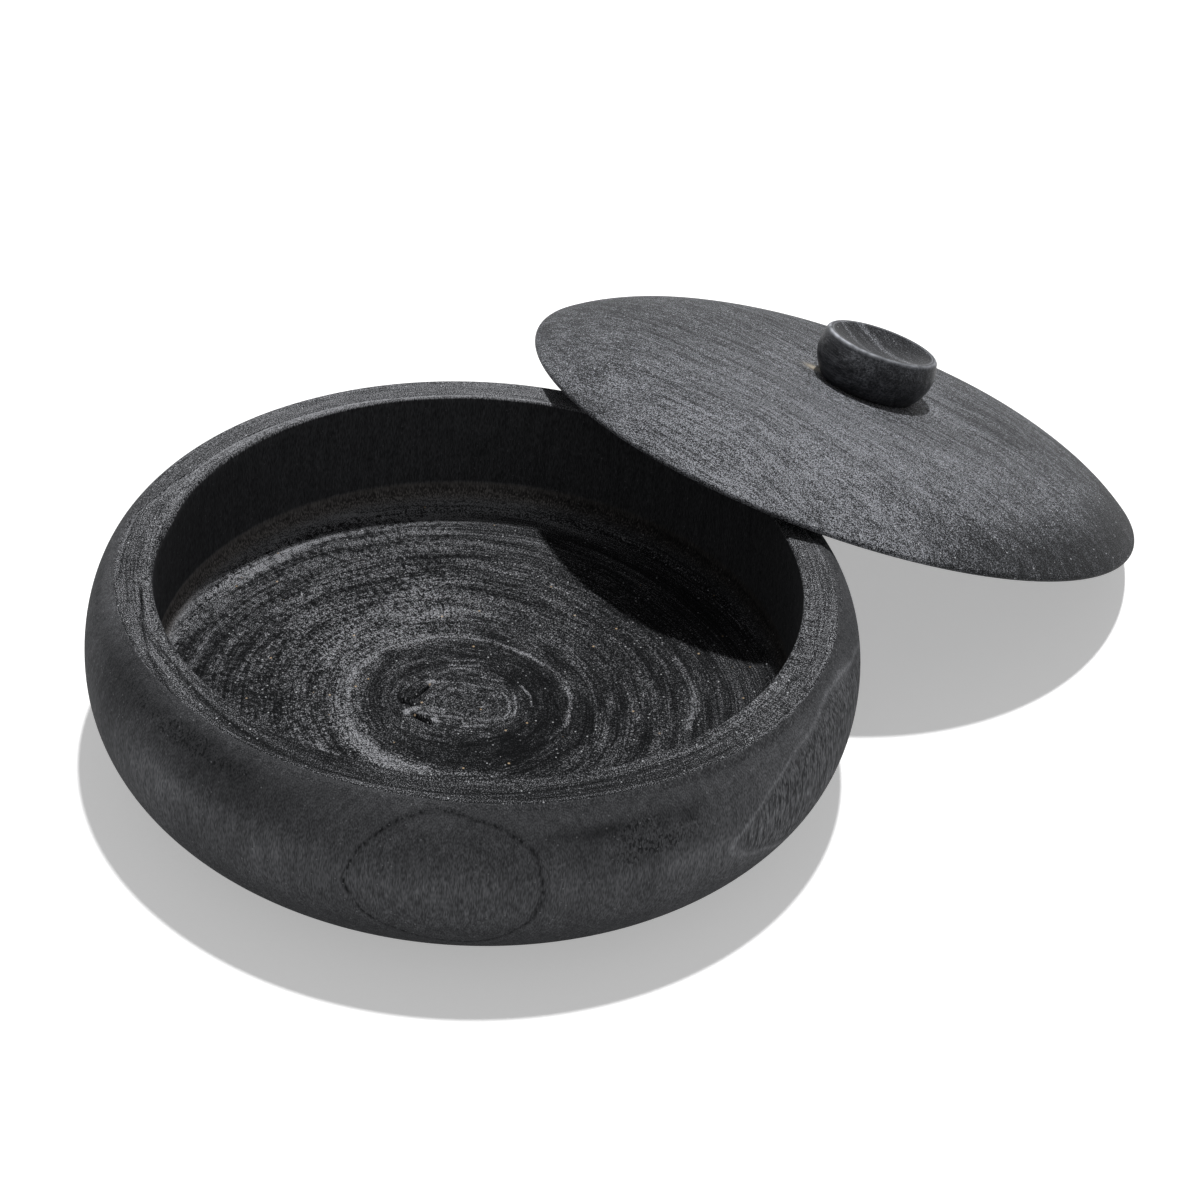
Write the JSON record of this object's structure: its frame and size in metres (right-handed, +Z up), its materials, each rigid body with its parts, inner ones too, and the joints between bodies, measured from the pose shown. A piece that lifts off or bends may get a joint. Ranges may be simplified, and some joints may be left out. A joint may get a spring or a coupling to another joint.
{
  "type": "lidded wooden container",
  "caption": "Low round turned wooden bowl with a domed lid and drum knob; the lid is off and leans on the bowl's rim.",
  "frame": {"origin": "centre of the bowl's flat foot, on the surface it stands on", "axes": "+Z up along the bowl's turning axis; the lid leans on the rim towards +X and +Y, and the picture looks from -Y"},
  "size_m": [0.3979, 0.4228, 0.0923],
  "materials": {
    "bowl_wood": "black stained, open grain, dry satin",
    "lid_wood": "black stained, open grain, dry satin",
    "knob_wood": "black stained, rubbed smooth",
    "dowel_wood": "bare"
  },
  "bodies": {
    "bowl": {"bowl": "bowl_wood"},
    "lid": {"lid": "lid_wood", "knob": "knob_wood", "knob_dowel": "dowel_wood"}
  },
  "joints": [
    {"name": "lid_lift", "type": "slide", "parent": "bowl", "child": "lid", "axis": [0, 0, 1], "range_m": [0, 0.15]}
  ]
}
